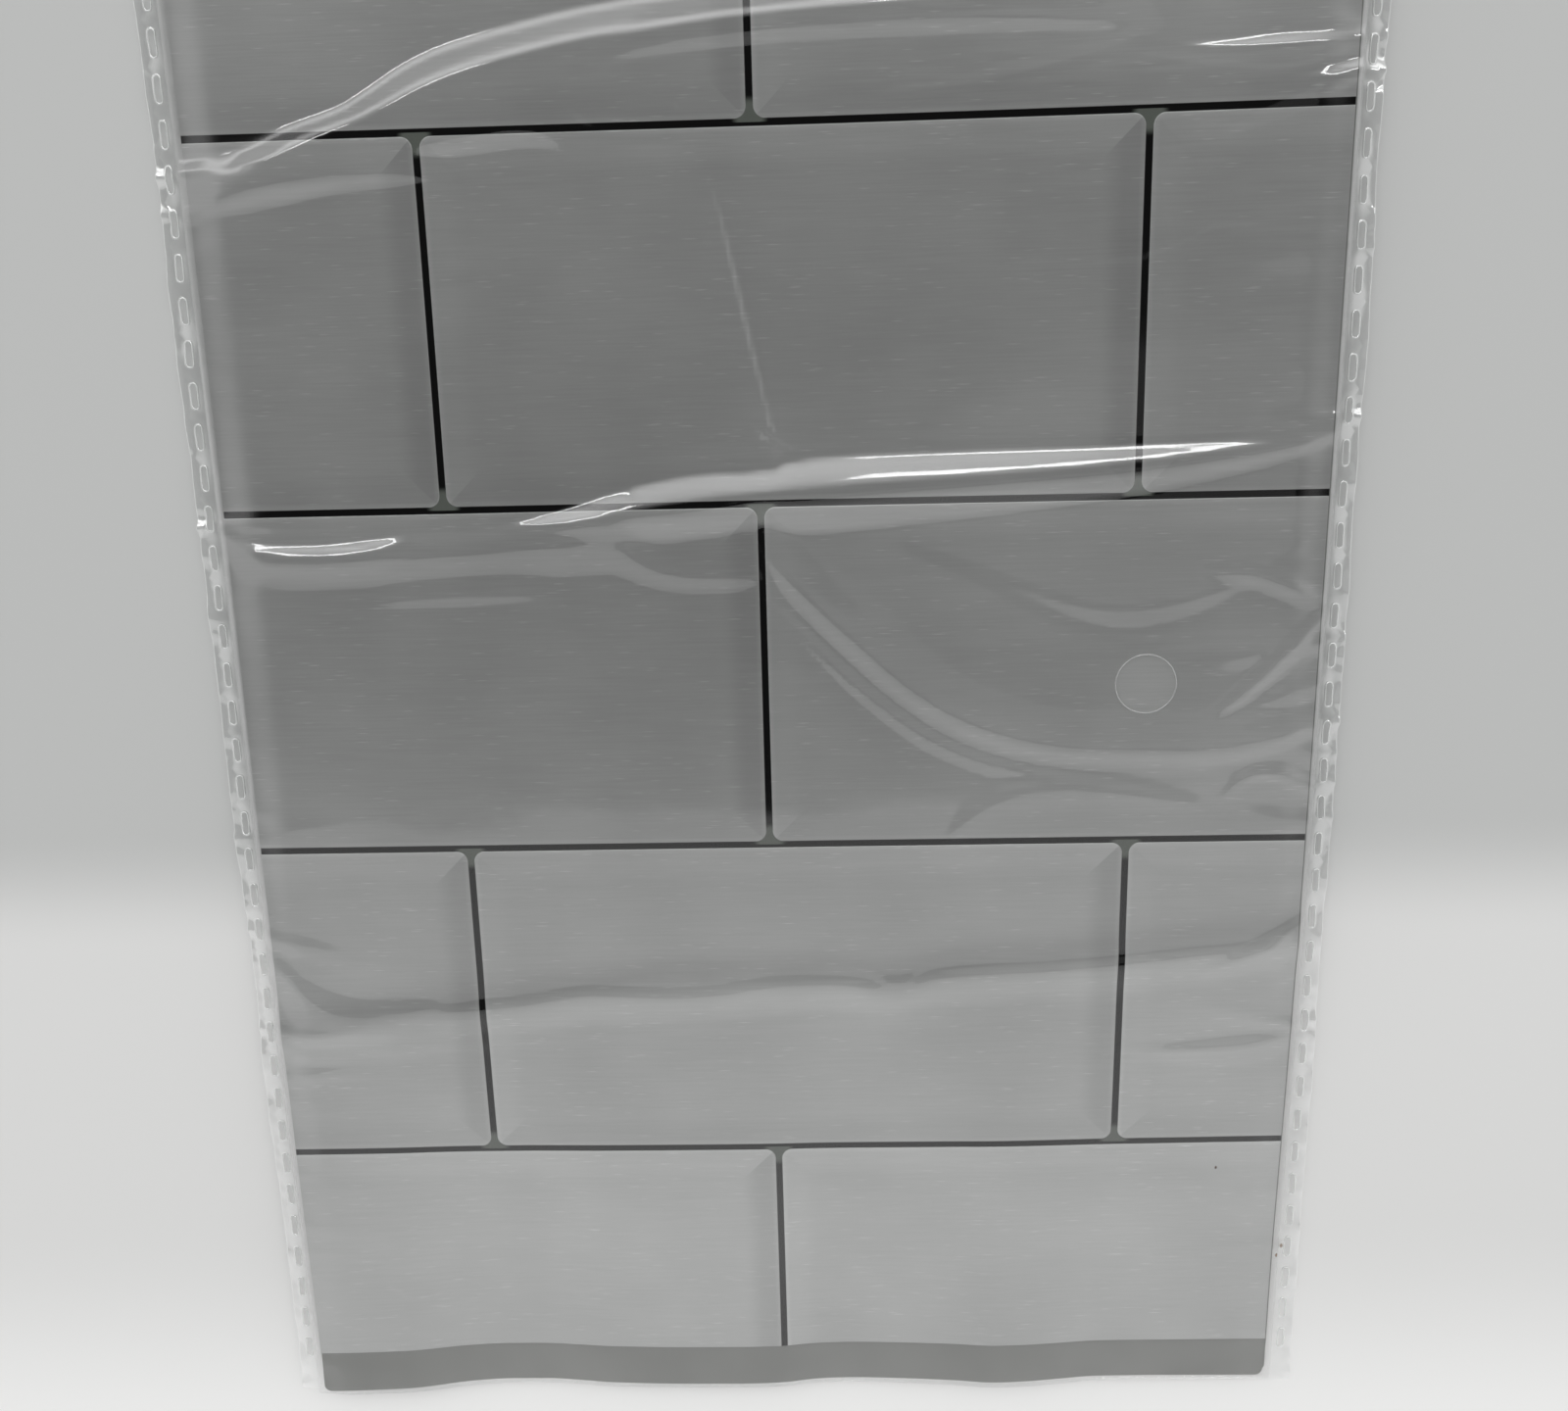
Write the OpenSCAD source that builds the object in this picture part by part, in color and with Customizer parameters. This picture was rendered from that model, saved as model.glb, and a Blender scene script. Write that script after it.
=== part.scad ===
// Pack of peel and stick backsplash sheets in a clear bag.
// Three thin sheets with a pressed running bond tile face lie on each other
// in a flat film bag, whose welded side seams are laced with punched slots.
// The pack lies on its back: X across, Y up the tile wall, Z up.

/* [Sheet] */
// Width of a sheet
sheet_w = 235; // [200:1:320]
// Number of tile courses that a sheet is long
sheet_courses = 6; // [3:1:8]
// Thickness of a sheet with its adhesive and liner
sheet_t = 0.5; // [0.4:0.05:1.5]
// Radius of the clipped foot corners of the two lower sheets
clip_r = 1.8; // [0.5:0.1:8]
// How far the middle sheet reaches below the front sheet
middle_drop = 11; // [3:0.5:20]
// How far the back sheet stops short of the middle sheet
back_rise = 0.8; // [0:0.1:2]
// How far the back sheet stands out sideways
back_shift = 0.6; // [0:0.1:2]

/* [Tile face] */
// Length of a tile with one joint
tile_pitch = 147.5; // [100:0.5:190]
// Height of a course with one joint
course_pitch = 76.2; // [50:0.1:100]
// Height of the cut course at the foot of a sheet
foot_course = 56.5; // [20:0.5:74]
// Place of the joint in the cut foot course and every second one above it
joint_x = -1.5; // [-20:0.5:20]
// How far the other courses are moved sideways
bond_shift = -68; // [-75:0.5:-40]
// Width of a grout joint
grout_w = 1.5; // [1:0.1:4]
// Depth of the pressed grout joint
grout_depth = 0.15; // [0.05:0.05:0.25]
// Corner radius of a tile
tile_r = 2.4; // [0.5:0.1:6]

/* [Bag] */
// Thickness of the film
film_t = 0.08; // [0.05:0.01:0.2]
// Width of the welded strip along each side and the top
seam_w = 4.8; // [4.6:0.1:7]
// Room between the side welds and the widest sheet
side_gap = 1.6; // [1:0.1:8]
// Length of the bag past the foot of the middle sheet
foot_gap = 2; // [2:0.5:10]
// Length of the bag past the top of the front sheet
top_margin = 24; // [16:1:60]
// How far the front film stands off the sheets at its loosest
loft = 6; // [1:0.5:10]

/* [Slots and vent] */
// Length of a punched slot
slot_l = 5.5; // [3:0.1:7]
// Width of a punched slot
slot_w = 1.6; // [0.8:0.1:2.4]
// Distance from slot to slot
slot_pitch = 8.7; // [8:0.1:14]
// Distance of the slots from the side of the bag
slot_inset = 2.8; // [1.8:0.1:3.2]
// Diameter of the vent hole in the front film
vent_d = 13; // [6:0.5:16]
// Place of the vent hole across the bag
vent_x = 81; // [-90:0.5:90]
// Height of the vent hole above the foot of the front sheet
vent_y = 168.5; // [60:0.5:200]

/* [Hidden] */

// The film keeps this much air over the sheets
film_gap = 0.3;
// Width of the pressed fold that closes the foot of the bag
foot_fold = 0.6;
// Share of the room beside the sheets in which the film rises from its weld
rise_share = 0.8;
// Grid of the loose film, in cells
cells_x = 28;
cells_y = 46;

sheet_l = sheet_courses * course_pitch;
bag_w = sheet_w + 2 * (back_shift + side_gap + seam_w);
bag_l = foot_gap + middle_drop + sheet_l + top_margin;
middle_foot = foot_gap - bag_l / 2;
front_foot = middle_foot + middle_drop;

back_z = film_t;
middle_z = back_z + sheet_t;
front_z = middle_z + sheet_t;
stack_top = front_z + sheet_t;

pouch_w = bag_w - 2 * seam_w;
pouch_foot = foot_fold - bag_l / 2;
pouch_top = bag_l / 2 - seam_w;
side_run = rise_share * side_gap;
foot_run = rise_share * (foot_gap - foot_fold);
crown_run = pouch_w / 2;

slot_count = floor((bag_l - 2 * slot_l) / slot_pitch);
slot_span = (slot_count - 1) * slot_pitch;

// A rounded rectangle between two corners
module rounded(low, high, r) {
    size = high - low;
    translate(low + [r, 0]) square([size.x - 2 * r, size.y]);
    translate(low + [0, r]) square([size.x, size.y - 2 * r]);
    for (x = [r, size.x - r], y = [r, size.y - r])
        translate(low + [x, y]) circle(r, $fn = 32);
}

// A whole sheet from above, its foot on y = 0, with its foot corners clipped
module sheet_outline(foot_r) {
    if (foot_r == 0)
        translate([-sheet_w / 2, 0]) square([sheet_w, sheet_l]);
    else {
        rounded([-sheet_w / 2, 0], [sheet_w / 2, sheet_l], foot_r);
        translate([-sheet_w / 2, sheet_l / 2]) square([sheet_w, sheet_l / 2]);
    }
}

// The tiles of every course, running on past the edges of the sheet
module tiles() {
    half = grout_w / 2;
    reach = ceil(sheet_w / tile_pitch) + 1;
    for (course = [0 : sheet_courses], k = [-reach : reach]) {
        shift = joint_x + (course % 2 == 0 ? 0 : bond_shift);
        low = [shift + k * tile_pitch, foot_course + (course - 1) * course_pitch];
        rounded(low + [half, half], low + [tile_pitch - half, course_pitch - half], tile_r);
    }
}

// One sheet with its tile face up
module tile_sheet(foot_r = 0) {
    linear_extrude(sheet_t - grout_depth) sheet_outline(foot_r);
    linear_extrude(sheet_t) intersection() {
        sheet_outline(foot_r);
        tiles();
    }
}

module front_sheet() {
    color("#82868a") translate([0, front_foot, front_z]) tile_sheet();
}

// The middle sheet lies on its face, so its plain back shows below the front sheet
module middle_sheet() {
    color("#888986")
        translate([0, middle_foot, middle_z + sheet_t]) rotate([0, 180, 0]) tile_sheet(clip_r);
}

module back_sheet() {
    color("#7d8184")
        translate([back_shift, middle_foot + back_rise, back_z]) tile_sheet(clip_r);
}

// Rise from 0 to 1 over a run, steep at first and then level
function ease(d, run) = let (t = min(max(d / run, 0), 1)) 1 - pow(1 - t, 3);

// Height of the front film's under side: a short rise from the welds, then a crown
function film_z(x, y) =
    let (from_side = pouch_w / 2 - abs(x),
         from_foot = y - pouch_foot,
         from_top = pouch_top - y,
         rise = ease(from_side, side_run) * ease(min(from_foot, from_top), foot_run),
         crown = ease(from_side, crown_run) * ease(min(from_foot, from_top), crown_run))
    film_t + rise * (stack_top + film_gap - film_t) + crown * loft;

// Grid lines between two welds: two for each rise, then closer near the welds
function grid_lines(low, high, run, cells) =
    concat([low, low + run / 3],
           [for (i = [0 : cells])
               low + run + (high - low - 2 * run) * (1 - cos(180 * i / cells)) / 2],
           [high - run / 3, high]);

// The front film as one thin skin over the sheets
module front_film() {
    xs = grid_lines(-pouch_w / 2, pouch_w / 2, side_run, cells_x);
    ys = grid_lines(pouch_foot, pouch_top, foot_run, cells_y);
    n = len(xs);
    m = n * len(ys);
    under = [for (y = ys, x = xs) [x, y, film_z(x, y)]];
    over = [for (p = under) p + [0, 0, film_t]];
    last_x = n - 1;
    last_y = len(ys) - 1;
    function at(i, j) = j * n + i;
    skin = [for (j = [0 : last_y - 1], i = [0 : last_x - 1])
               each [[at(i, j), at(i + 1, j), at(i + 1, j + 1)],
                     [at(i, j), at(i + 1, j + 1), at(i, j + 1)]]];
    ends = [for (i = [0 : last_x - 1])
               each [[at(i, 0), m + at(i, 0), m + at(i + 1, 0), at(i + 1, 0)],
                     [at(i, last_y), at(i + 1, last_y),
                      m + at(i + 1, last_y), m + at(i, last_y)]]];
    sides = [for (j = [0 : last_y - 1])
                each [[at(0, j), at(0, j + 1), m + at(0, j + 1), m + at(0, j)],
                      [at(last_x, j), m + at(last_x, j),
                       m + at(last_x, j + 1), at(last_x, j + 1)]]];
    polyhedron(points = concat(under, over),
               faces = concat(skin, [for (f = skin) [m + f[0], m + f[2], m + f[1]]],
                              ends, sides));
}

// A punched slot with round ends, lying along Y
module slot() {
    straight = slot_l - slot_w;
    translate([-slot_w / 2, -straight / 2]) square([slot_w, straight]);
    for (y = [-straight / 2, straight / 2])
        translate([0, y]) circle(slot_w / 2, $fn = 24);
}

// The welded border, two films thick, with a row of slots down each side
module welds() {
    linear_extrude(2 * film_t) difference() {
        translate([-bag_w / 2, -bag_l / 2]) square([bag_w, bag_l]);
        translate([-pouch_w / 2, pouch_foot]) square([pouch_w, pouch_top - pouch_foot]);
        for (side = [-1, 1], k = [0 : slot_count - 1])
            translate([side * (bag_w / 2 - slot_inset), k * slot_pitch - slot_span / 2])
                slot();
    }
}

module clear_bag() {
    color("#e8ecee", 0.35) {
        welds();
        translate([-pouch_w / 2, pouch_foot, 0])
            cube([pouch_w, pouch_top - pouch_foot, film_t]);
        difference() {
            front_film();
            translate([vent_x, front_foot + vent_y, 0])
                cylinder(h = stack_top + 2 * loft, d = vent_d, $fn = 48);
        }
    }
}

front_sheet();
middle_sheet();
back_sheet();
clear_bag();
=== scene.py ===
"""A clear bag of peel and stick backsplash sheets, lying flat on a pale studio floor."""
import math

import bmesh
import bpy
import numpy as np
from bpy.props import FloatProperty, FloatVectorProperty, IntProperty, PointerProperty
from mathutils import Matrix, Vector


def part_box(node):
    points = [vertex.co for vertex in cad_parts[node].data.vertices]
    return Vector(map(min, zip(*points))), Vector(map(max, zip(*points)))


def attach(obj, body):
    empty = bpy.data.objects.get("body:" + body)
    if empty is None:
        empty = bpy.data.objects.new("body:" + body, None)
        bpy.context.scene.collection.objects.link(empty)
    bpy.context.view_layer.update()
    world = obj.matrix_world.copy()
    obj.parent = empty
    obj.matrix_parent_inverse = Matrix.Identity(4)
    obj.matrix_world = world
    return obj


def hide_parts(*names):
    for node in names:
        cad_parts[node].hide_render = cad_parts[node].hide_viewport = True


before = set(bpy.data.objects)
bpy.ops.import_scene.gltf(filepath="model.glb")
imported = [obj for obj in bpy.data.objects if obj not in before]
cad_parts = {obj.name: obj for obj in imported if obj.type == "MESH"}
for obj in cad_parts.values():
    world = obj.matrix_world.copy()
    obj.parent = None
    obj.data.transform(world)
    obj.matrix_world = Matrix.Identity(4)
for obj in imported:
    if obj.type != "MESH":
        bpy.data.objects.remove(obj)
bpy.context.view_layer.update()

bl_info = {
    "name": "Bagged Tile Sheets",
    "version": (1, 0, 0),
    "blender": (4, 5, 0),
    "location": "View3D > Sidebar > Tile Pack",
    "description": "Builds a clear bag of peel and stick tile sheets, with its studio",
    "category": "Add Mesh",
}

MM = 0.001
WELD_W = 4.8 * MM
DROP = 0.2 * MM

# Boxes of the CAD pieces, which every surface here is laid out from
FRONT_LOW, FRONT_HIGH = (np.array(c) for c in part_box("front_sheet"))
MIDDLE_LOW, MIDDLE_HIGH = (np.array(c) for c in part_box("middle_sheet"))
BACK_LOW, BACK_HIGH = (np.array(c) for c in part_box("back_sheet"))
BAG_LOW, BAG_HIGH = (np.array(c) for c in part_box("clear_bag"))
SHEET_HALF = (FRONT_HIGH[0] - FRONT_LOW[0]) / 2
SHEET_T = FRONT_HIGH[2] - FRONT_LOW[2]
STACK_T = FRONT_HIGH[2]
FOOT = FRONT_LOW[1]


def linear(code):
    """Turn an sRGB hex colour into the linear values that Blender works in."""
    parts = [int(code[i:i + 2], 16) / 255 for i in (1, 3, 5)]
    return tuple(p / 12.92 if p <= 0.04045 else ((p + 0.055) / 1.055) ** 2.4 for p in parts)


# ---------------------------------------------------------------- settings
class SheetSettings(bpy.types.PropertyGroup):
    """Sizes and colours of the printed sheets."""
    tile_pitch: FloatProperty(
        name="Tile Length", description="Length of a tile with one joint",
        default=147.5 * MM, unit="LENGTH", min=0.05)
    course_pitch: FloatProperty(
        name="Course Height", description="Height of a course with one joint",
        default=76.2 * MM, unit="LENGTH", min=0.02)
    foot_course: FloatProperty(
        name="Foot Course", description="Height of the cut course at the foot",
        default=56.5 * MM, unit="LENGTH", min=0.01)
    joint_x: FloatProperty(
        name="Joint Place", description="Place of the joint in the foot course",
        default=-1.5 * MM, unit="LENGTH")
    bond_shift: FloatProperty(
        name="Bond Shift", description="How far every second course is moved sideways",
        default=-68.0 * MM, unit="LENGTH")
    grout_w: FloatProperty(
        name="Joint Width", description="Width of a printed joint",
        default=1.5 * MM, unit="LENGTH", min=0.0005)
    tile_r: FloatProperty(
        name="Tile Corner", description="Corner radius of a tile",
        default=2.4 * MM, unit="LENGTH", min=0.0001)
    bevel_w: FloatProperty(
        name="Bevel Width", description="Width of the printed bevel round a tile",
        default=7.5 * MM, unit="LENGTH", min=0.001)
    clip_r: FloatProperty(
        name="Clipped Corner", description="Radius of the lower sheets' foot corners",
        default=1.8 * MM, unit="LENGTH", min=0.0001)
    face_colour: FloatVectorProperty(
        name="Face", description="Silver grey of the tile print", subtype="COLOR",
        size=3, min=0, max=1, default=linear("#adaead"))
    joint_colour: FloatVectorProperty(
        name="Joint", description="Black of the printed joint", subtype="COLOR",
        size=3, min=0, max=1, default=linear("#030303"))
    corner_colour: FloatVectorProperty(
        name="Joint Corner", description="Grey of the joint where tiles meet at a corner",
        subtype="COLOR", size=3, min=0, max=1, default=linear("#565a55"))
    speck_colour: FloatVectorProperty(
        name="Dirt", description="Brown of the specks of dirt", subtype="COLOR",
        size=3, min=0, max=1, default=linear("#4a3524"))
    back_colour: FloatVectorProperty(
        name="Back", description="Grey of a sheet's plain back", subtype="COLOR",
        size=3, min=0, max=1, default=linear("#70716e"))


class BagSettings(bpy.types.PropertyGroup):
    """Sizes and colours of the film bag."""
    film_t: FloatProperty(
        name="Film Thickness", description="Thickness of the film",
        default=0.08 * MM, unit="LENGTH", min=0.00001)
    seam_w: FloatProperty(
        name="Weld Width", description="Width of the welded strip on each side",
        default=WELD_W, unit="LENGTH", min=0.001)
    side_run: FloatProperty(
        name="Side Rise", description="Run in which the film rises from a side weld",
        default=1.3 * MM, unit="LENGTH", min=0.0002)
    foot_run: FloatProperty(
        name="Foot Rise", description="Run in which the film rises from the foot fold",
        default=1.9 * MM, unit="LENGTH", min=0.0002)
    top_run: FloatProperty(
        name="Top Rise", description="Run in which the film rises from the top weld",
        default=15 * MM, unit="LENGTH", min=0.0002)
    foot_fold: FloatProperty(
        name="Foot Fold", description="Width of the fold that closes the foot",
        default=0.6 * MM, unit="LENGTH", min=0.0002)
    slot_l: FloatProperty(
        name="Slot Length", description="Length of a punched slot",
        default=5.5 * MM, unit="LENGTH", min=0.001)
    slot_w: FloatProperty(
        name="Slot Width", description="Width of a punched slot",
        default=1.6 * MM, unit="LENGTH", min=0.0005)
    slot_pitch: FloatProperty(
        name="Slot Pitch", description="Distance from slot to slot",
        default=8.7 * MM, unit="LENGTH", min=0.002)
    slot_inset: FloatProperty(
        name="Slot Inset", description="Distance of the slots from the bag's side",
        default=2.8 * MM, unit="LENGTH", min=0.0005)
    vent_r: FloatProperty(
        name="Vent Radius", description="Radius of the vent hole",
        default=6.5 * MM, unit="LENGTH", min=0.001)
    vent_x: FloatProperty(
        name="Vent Across", description="Place of the vent hole across the bag",
        default=81 * MM, unit="LENGTH")
    vent_y: FloatProperty(
        name="Vent Up", description="Height of the vent hole above the front sheet's foot",
        default=168.5 * MM, unit="LENGTH")
    seed: IntProperty(
        name="Seed", description="Seed of the small wrinkles", default=7, min=0)
    speck_colour: FloatVectorProperty(
        name="Film Dirt", description="Brown of the specks on the film", subtype="COLOR",
        size=3, min=0, max=1, default=linear("#6b5238"))
    haze_colour: FloatVectorProperty(
        name="Film Haze", description="Faint milkiness of the film", subtype="COLOR",
        size=3, min=0, max=1, default=linear("#e6e9e7"))


class StageSettings(bpy.types.PropertyGroup):
    """Camera, floor and lights."""
    camera_place: FloatVectorProperty(
        name="Camera Place", description="Where the camera stands", subtype="XYZ",
        unit="LENGTH", size=3, default=(0.0123, 0.0072, 0.3075))
    camera_turn: FloatVectorProperty(
        name="Camera Turn", description="How the camera is turned", subtype="EULER",
        unit="ROTATION", size=3,
        default=(math.radians(-14.23), math.radians(1.50), math.radians(-1.43)))
    top_light: FloatProperty(
        name="Top Light", description="Brightness of the studio right overhead",
        default=0.02, min=0)
    side_light: FloatProperty(
        name="Side Light", description="Brightness of the studio at the sides",
        default=1.0, min=0)
    screen_light: FloatProperty(
        name="Screen Light", description="Brightness of the screen past the foot",
        default=0.67, min=0)
    back_light: FloatProperty(
        name="Back Light", description="Brightness of the screen past the top of the pack",
        default=3.2, min=0)
    panel_light: FloatProperty(
        name="Panel Light", description="Brightness of the faint panel overhead",
        default=0.16, min=0)
    lamp: FloatProperty(
        name="Lamp", description="Brightness of the lamps that the film mirrors",
        default=9.0, min=0)
    focal_share: FloatProperty(
        name="Focal Share", description="Focal length over the picture's width",
        default=1450 / 1600, min=0.1)
    # The three floor colours hold painted light: the floor is painted lightest before the foot of the
    # pack and darker beside the upper courses, which is painted shade
    foot_floor_painted_light: FloatVectorProperty(
        name="Foot Floor", description="Floor colour before the foot of the pack",
        subtype="COLOR", size=3, min=0, max=1, default=linear("#ededec"))
    near_floor: FloatVectorProperty(
        name="Near Floor", description="Floor colour beside the lower courses",
        subtype="COLOR", size=3, min=0, max=1, default=linear("#d7d7d6"))
    far_floor_painted_shade: FloatVectorProperty(
        name="Far Floor", description="Floor colour beside the upper courses",
        subtype="COLOR", size=3, min=0, max=1, default=linear("#babbba"))


# ---------------------------------------------------------------- shape of the pack
def bump(t, centre, width):
    """A smooth hump of height 1."""
    return np.exp(-((t - centre) / width) ** 2)


def smooth(t):
    """A smooth step from 0 to 1 as t goes from 0 to 1."""
    t = np.clip(t, 0, 1)
    return t * t * (3 - 2 * t)


def near_line(x, y, points):
    """Distance to a line in mm, the line's size there, and which side is nearer.

    The points are (x, y, size) in mm. The side is true to the left of a line that is
    walked along its points.
    """
    x, y = x / MM, y / MM
    best = np.full(x.shape, np.inf)
    size = np.zeros(x.shape)
    left = np.zeros(x.shape, bool)
    for (ax, ay, a_size), (bx, by, b_size) in zip(points, points[1:]):
        along = (x - ax) * (bx - ax) + (y - ay) * (by - ay)
        t = np.clip(along / ((bx - ax) ** 2 + (by - ay) ** 2), 0, 1)
        d = np.hypot(x - ax - t * (bx - ax), y - ay - t * (by - ay))
        closer = d < best
        best = np.where(closer, d, best)
        size = np.where(closer, a_size + t * (b_size - a_size), size)
        left = np.where(closer, (bx - ax) * (y - ay) > (by - ay) * (x - ax), left)
    return best, size, left


def rounded_line(points, times=2):
    """Cut the corners off a line of points, so that it bends smoothly."""
    points = [np.array(p, float) for p in points]
    for _ in range(times):
        cut = [points[0]]
        for a, b in zip(points, points[1:]):
            cut += [a * 0.75 + b * 0.25, a * 0.25 + b * 0.75]
        points = cut + [points[-1]]
    return points


# The transverse ridge that runs across the whole stack in the second course
STACK_RIDGE = ((-119, -148, 1), (-87, -145, 1), (-54, -139, 1), (-22, -136, 1), (14, -135, 1),
               (26, -138, 1), (37, -134, 1), (68, -132, 1), (119, -126, 1))

# Specks of dirt on the front sheet and in the right weld: place and radius in mm
SHEET_SPECKS = ((102.6, -185.3, 0.35),)
FILM_SPECKS = ((118.8, -210.3, 0.45), (120.3, -208.6, 0.5))

# How far the stack stands up along the front sheet's foot: place across and height in mm
FOOT_LINE = ((-117.5, 4.4), (-97, 3.7), (-80, 1.4), (-71, 0.8), (-62, 0.8), (-53, 1.4),
             (-45, 2.1), (-25, 2.6), (-12, 2.6), (-3, 2.3), (7, 1.1), (15, 0.8), (24, 1.0),
             (41, 1.8), (50, 2.5), (58, 2.2), (67, 1.4), (76, 0.6), (92, 0.4), (117.5, 0.2))

# The slow twist of the whole stack: place up the pack, then heights at the left side,
# the middle and the right side, all in mm
TWIST = ((-247, 4.4, 2.0, 0.2), (-178, 4.6, 4.2, 2.4), (-101, 3.6, 3.8, 4.2),
         (-25, 1.7, 2.3, 4.6), (51, 0.4, 0.7, 4.4), (130, 0.4, 0.9, 2.8), (247, 0.3, 0.6, 1.2))


def through(t, places, values):
    """A smooth curve through the values at the places, with no overshoot."""
    places, values = np.array(places, float), np.array(values, float)
    slope = np.diff(values) / np.diff(places)
    grade = np.zeros(len(places))
    same = slope[:-1] * slope[1:] > 0
    both = np.where(same, slope[:-1] + slope[1:], 1)
    grade[1:-1] = np.where(same, 2 * slope[:-1] * slope[1:] / both, 0)
    t = np.clip(t, places[0], places[-1])
    k = np.clip(np.searchsorted(places, t, side="right") - 1, 0, len(places) - 2)
    run = places[k + 1] - places[k]
    u = (t - places[k]) / run
    return ((2 * u ** 3 - 3 * u ** 2 + 1) * values[k] + (3 * u ** 2 - 2 * u ** 3) * values[k + 1]
            + (u ** 3 - 2 * u ** 2 + u) * run * grade[k] + (u ** 3 - u ** 2) * run * grade[k + 1])


def lift(x, y, ridge=0.6):
    """How far the limp stack stands off its flat place, in metres."""
    up = [row[0] for row in TWIST]
    left, middle, right = (through(y / MM, up, [row[k] for row in TWIST]) for k in (1, 2, 3))
    side = np.clip(x / SHEET_HALF, -1, 1)
    bend = np.clip(np.abs(side), 0, 1) ** 1.5
    height = middle + bend * np.where(side < 0, left - middle, right - middle)
    foot = through(x / MM, *zip(*FOOT_LINE))
    below = np.clip((FOOT - y) / (10 * MM), 0, 1)
    fade = np.exp(-(np.clip(y - FOOT, 0, None) / (46 * MM)) ** 1.7)
    height += (foot - height) * fade + 0.25 * below * (foot - 2)
    height += ridge * bump(near_line(x, y, rounded_line(STACK_RIDGE))[0], 0, 5)
    return np.clip(height, 0.02, 5.6) * MM


def hold(x, y):
    """Height at which the two films of the bag meet beside the stack."""
    return 0.5 * lift(x, y) + 0.35 * MM


def ripples(x, y, seed, length, count=9, stretch=1.0):
    """A smooth random surface about 1 high, with waves of about one length."""
    rng = np.random.default_rng(seed)
    total = np.zeros(np.broadcast(x, y).shape)
    for _ in range(count):
        turn = rng.uniform(0, math.tau)
        wave = math.tau / (length * rng.uniform(0.6, 1.6))
        phase = rng.uniform(0, math.tau)
        total += np.sin(wave * (x * math.cos(turn) * stretch + y * math.sin(turn)) + phase)
    return total / math.sqrt(count)


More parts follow.
